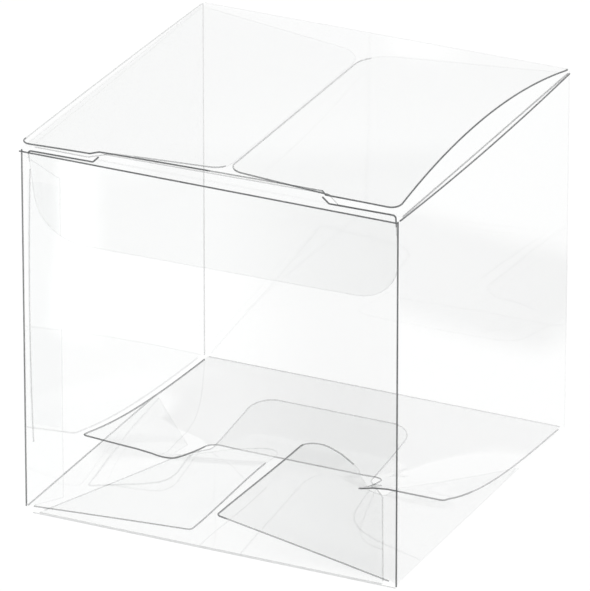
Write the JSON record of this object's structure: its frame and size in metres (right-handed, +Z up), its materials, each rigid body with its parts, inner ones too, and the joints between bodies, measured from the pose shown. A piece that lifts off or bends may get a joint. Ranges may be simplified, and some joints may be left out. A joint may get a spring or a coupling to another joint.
{
  "type": "clear plastic gift box",
  "caption": "Clear folding plastic gift box, a near cube with a tuck-in lid, dust flaps and a snap-lock bottom.",
  "frame": {"origin": "on the surface the box stands on, under the middle of its square plan", "axes": "+Z up, -Y out of the front wall where the lid tucks in, +X towards the right-hand wall seen from the front"},
  "size_m": [0.1, 0.1, 0.1035],
  "materials": {
    "clear_film": "clear glossy film, cut edges look grey",
    "adhesive": "clear dried glue, faintly bluish"
  },
  "bodies": {
    "tube": {"front_panel": "clear_film", "right_panel": "clear_film", "back_panel": "clear_film", "left_panel": "clear_film", "glue_flap": "clear_film", "seam_adhesive": "adhesive"},
    "lid": {"lid_panel": "clear_film"},
    "tuck": {"tuck_flap": "clear_film"},
    "left_dust": {"left_dust_flap": "clear_film"},
    "right_dust": {"right_dust_flap": "clear_film"},
    "bottom_front": {"bottom_front_flap": "clear_film"},
    "bottom_back": {"bottom_back_flap": "clear_film"},
    "bottom_left": {"bottom_left_flap": "clear_film"},
    "bottom_right": {"bottom_right_flap": "clear_film"}
  },
  "joints": [
    {"name": "lid_hinge", "type": "hinge", "parent": "tube", "child": "lid", "pos_m": [0, 0.05, 0.09665], "axis": [-1, 0, 0], "range_deg": [0, 230]},
    {"name": "tuck_hinge", "type": "hinge", "parent": "lid", "child": "tuck", "pos_m": [0, -0.049, 0.0989], "axis": [-0.9999, 0, -0.0141], "range_deg": [0, 35]},
    {"name": "right_dust_hinge", "type": "hinge", "parent": "tube", "child": "right_dust", "pos_m": [0.05, 0, 0.096], "axis": [0, 1, 0], "range_deg": [0, 56]},
    {"name": "left_dust_hinge", "type": "hinge", "parent": "tube", "child": "left_dust", "pos_m": [-0.05, 0, 0.096], "axis": [0, -1, 0], "range_deg": [0, 56]},
    {"name": "bottom_front_hinge", "type": "hinge", "parent": "tube", "child": "bottom_front", "pos_m": [0, -0.05, 0.00022], "axis": [1, 0, 0], "range_deg": [0, 12]},
    {"name": "bottom_back_hinge", "type": "hinge", "parent": "tube", "child": "bottom_back", "pos_m": [0, 0.05, 0.00022], "axis": [-1, 0, 0], "range_deg": [0, 12.1]},
    {"name": "bottom_right_hinge", "type": "hinge", "parent": "tube", "child": "bottom_right", "pos_m": [0.05, 0, 0.00093], "axis": [0, 1, 0], "range_deg": [0, 22]},
    {"name": "bottom_left_hinge", "type": "hinge", "parent": "tube", "child": "bottom_left", "pos_m": [-0.05, 0, 0.00093], "axis": [0, -1, 0], "range_deg": [0, 22]}
  ],
  "couplings": [
    {"joint": "tuck_hinge", "follows": "lid_hinge", "ratio": 0.15},
    {"joint": "right_dust_hinge", "follows": "lid_hinge", "ratio": 0.24},
    {"joint": "left_dust_hinge", "follows": "lid_hinge", "ratio": 0.24},
    {"joint": "bottom_back_hinge", "follows": "bottom_front_hinge", "ratio": 1},
    {"joint": "bottom_right_hinge", "follows": "bottom_front_hinge", "ratio": 1.8},
    {"joint": "bottom_left_hinge", "follows": "bottom_front_hinge", "ratio": 1.8}
  ]
}
